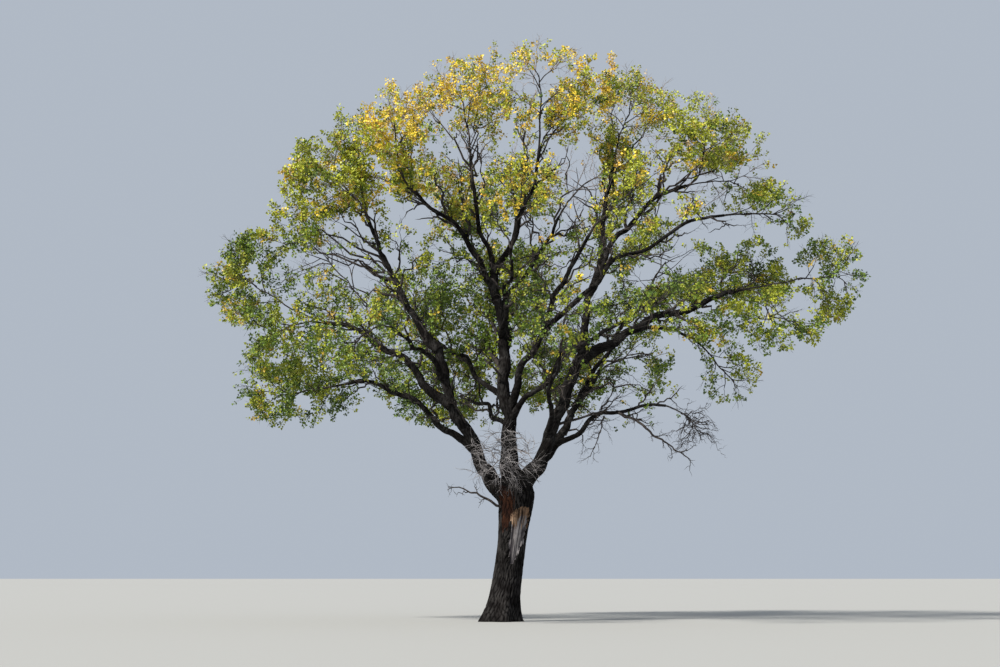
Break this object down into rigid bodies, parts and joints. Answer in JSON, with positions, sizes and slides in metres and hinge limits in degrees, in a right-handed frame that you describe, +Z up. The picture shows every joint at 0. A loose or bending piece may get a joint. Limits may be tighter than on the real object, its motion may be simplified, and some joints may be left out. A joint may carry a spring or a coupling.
{
  "type": "cottonwood tree",
  "caption": "Mature open-grown cottonwood in early autumn leaf: a short leaning trunk that forks low, long spreading limbs, and separate masses of yellow-green foliage.",
  "frame": {"origin": "middle of the flat cut under the trunk, at ground level", "axes": "+Z up, +X to the right as the tree is seen in the picture, +Y away from the viewer"},
  "size_m": [24.3422, 18.7833, 20.9],
  "materials": {
    "bark": "rough, deeply furrowed bark",
    "foliage": "matt to satin leaves",
    "dead_twigs": "dry, bare grey twigs"
  },
  "bodies": {
    "root": {"trunk": "bark", "left_limb": "bark", "centre_leader": "bark", "right_limb": "bark", "right_back_limb": "bark", "far_left_limb": "bark", "low_left_limb": "bark", "left_front_limb": "bark", "left_upper_limb": "bark", "back_left_limb": "bark", "back_low_left_limb": "bark", "front_right_limb": "bark", "front_low_limb": "bark", "centre_right_limb": "bark", "long_right_limb": "bark", "back_centre_limb": "bark", "front_upper_limb": "bark", "back_upper_right_limb": "bark", "back_upper_left_limb": "bark", "crown_left_limb": "bark", "top_left_limb": "bark", "top_limb": "bark", "right_upper_limb": "bark", "right_shoulder_limb": "bark", "right_long_limb": "bark", "right_hang_limb": "bark", "back_right_limb": "bark", "low_right_limb": "bark", "far_left_leaves": "foliage", "outer_left_leaves": "foliage", "low_left_leaves": "foliage", "front_left_leaves": "foliage", "middle_left_leaves": "foliage", "left_shoulder_leaves": "foliage", "back_left_leaves": "foliage", "back_low_left_leaves": "foliage", "upper_left_leaves": "foliage", "top_left_leaves": "foliage", "top_leaves": "foliage", "back_upper_left_leaves": "foliage", "back_upper_right_leaves": "foliage", "front_upper_leaves": "foliage", "back_centre_leaves": "foliage", "front_right_upper_leaves": "foliage", "right_step_leaves": "foliage", "front_right_leaves": "foliage", "front_low_leaves": "foliage", "top_right_leaves": "foliage", "upper_right_leaves": "foliage", "right_shoulder_leaves": "foliage", "far_right_leaves": "foliage", "middle_right_leaves": "foliage", "low_right_leaves": "foliage", "hanging_right_leaves": "foliage", "inner_right_leaves": "foliage", "back_low_right_leaves": "foliage", "back_right_leaves": "foliage", "low_right_twigs": "dead_twigs", "fork_twigs": "dead_twigs"}
  },
  "joints": []
}
